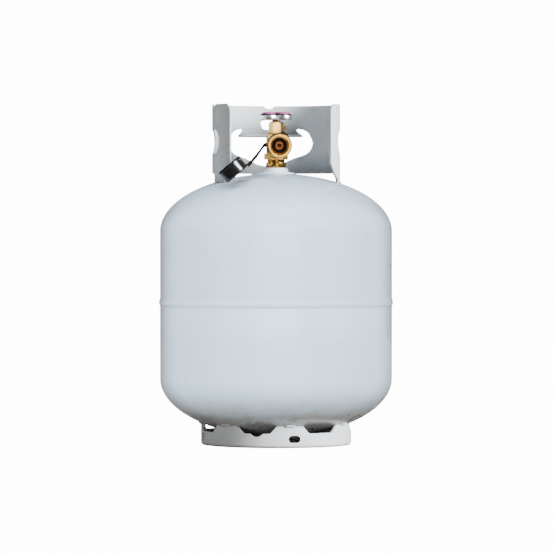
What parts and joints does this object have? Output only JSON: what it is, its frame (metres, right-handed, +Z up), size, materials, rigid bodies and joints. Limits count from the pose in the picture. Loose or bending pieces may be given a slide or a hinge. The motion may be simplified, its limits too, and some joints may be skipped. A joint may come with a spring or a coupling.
{
  "type": "propane tank",
  "caption": "White steel propane cylinder with a guard collar, a foot ring and a brass outlet valve with a tethered black dust cap.",
  "frame": {"origin": "centre of the foot ring's bottom plane, on the tank's axis", "axes": "+Z up along the tank's axis, -Y out of the valve outlet, +X to the right when facing the outlet"},
  "size_m": [0.3126, 0.3126, 0.4535],
  "materials": {
    "white_paint": "gloss",
    "brass": "satin",
    "bright_metal": "polished",
    "steel": "satin",
    "black_rubber": "matte",
    "pink_plastic": "gloss",
    "black_plastic": "matte"
  },
  "bodies": {
    "tank": {"upper_head": "white_paint", "lower_head": "white_paint", "seam_weld": "white_paint", "neck_boss": "white_paint", "boss_weld": "white_paint", "collar": "white_paint", "collar_welds": "white_paint", "foot_ring": "white_paint", "foot_ring_welds": "white_paint", "valve_body": "brass", "bonnet_nut": "brass", "stem_o_ring": "black_rubber", "check_retainer": "brass", "outlet_seal": "black_rubber", "check_spring": "steel", "relief_cap": "brass", "relief_spring": "steel", "dip_tube": "steel", "stop_housing": "brass", "float_pin": "steel"},
    "wheel": {"upper_stem": "brass", "handwheel": "bright_metal", "handwheel_disc": "pink_plastic", "handwheel_screw": "steel"},
    "plug": {"seat_plug": "brass", "seat_disc": "black_rubber"},
    "poppet": {"check_poppet": "brass"},
    "relief": {"relief_poppet": "brass"},
    "bleeder": {"bleeder_screw": "brass"},
    "float_lever": {"float_arm": "steel", "float": "black_plastic"},
    "stop": {"stop_piston": "brass"},
    "tether_loop": {"strap_loop": "black_rubber"},
    "tether": {"cap_strap": "black_rubber"},
    "cap": {"dust_cap": "black_rubber"}
  },
  "joints": [
    {"name": "handwheel_turn", "type": "hinge", "parent": "tank", "child": "wheel", "pos_m": [0, 0, 0.433], "axis": [0, 0, 1], "range_deg": [0, 450]},
    {"name": "plug_lift", "type": "slide", "parent": "wheel", "child": "plug", "axis": [0, 0, 1], "range_m": [0, 0.00185]},
    {"name": "check_push", "type": "slide", "parent": "tank", "child": "poppet", "axis": [0, 1, 0], "range_m": [0, 0.004], "stiffness_N_per_m": 600, "deforming": ["check_spring"]},
    {"name": "relief_lift", "type": "slide", "parent": "tank", "child": "relief", "axis": [0, 1, 0], "range_m": [0, 0.002], "stiffness_N_per_m": 2000, "deforming": ["relief_spring"]},
    {"name": "bleeder_turn", "type": "hinge", "parent": "tank", "child": "bleeder", "pos_m": [0.0106, 0.0061, 0.418], "axis": [0, 0, 1], "range_deg": [0, 360]},
    {"name": "float_swing", "type": "hinge", "parent": "tank", "child": "float_lever", "pos_m": [0, 0, 0.2995], "axis": [1, 0, 0], "range_deg": [0, 75]},
    {"name": "stop_lift", "type": "slide", "parent": "tank", "child": "stop", "axis": [0, 0, 1], "range_m": [0, 0.0031]},
    {"name": "loop_turn", "type": "hinge", "parent": "tank", "child": "tether_loop", "pos_m": [0, -0.0246, 0.398], "axis": [0, 1, 0], "range_deg": [0, 100]},
    {"name": "strap_swing", "type": "hinge", "parent": "tether_loop", "child": "tether", "pos_m": [-0.0185, -0.025, 0.3995], "axis": [0, 0, 1], "range_deg": [0, 22]},
    {"name": "cap_tilt", "type": "hinge", "parent": "tether", "child": "cap", "pos_m": [-0.0465, -0.0734, 0.3711], "axis": [0, 1, 0], "range_deg": [0, 35]}
  ],
  "couplings": [
    {"joint": "plug_lift", "follows": "handwheel_turn", "m_per_rad": 0.00023},
    {"joint": "stop_lift", "follows": "float_swing", "m_per_rad": 0.0023}
  ]
}
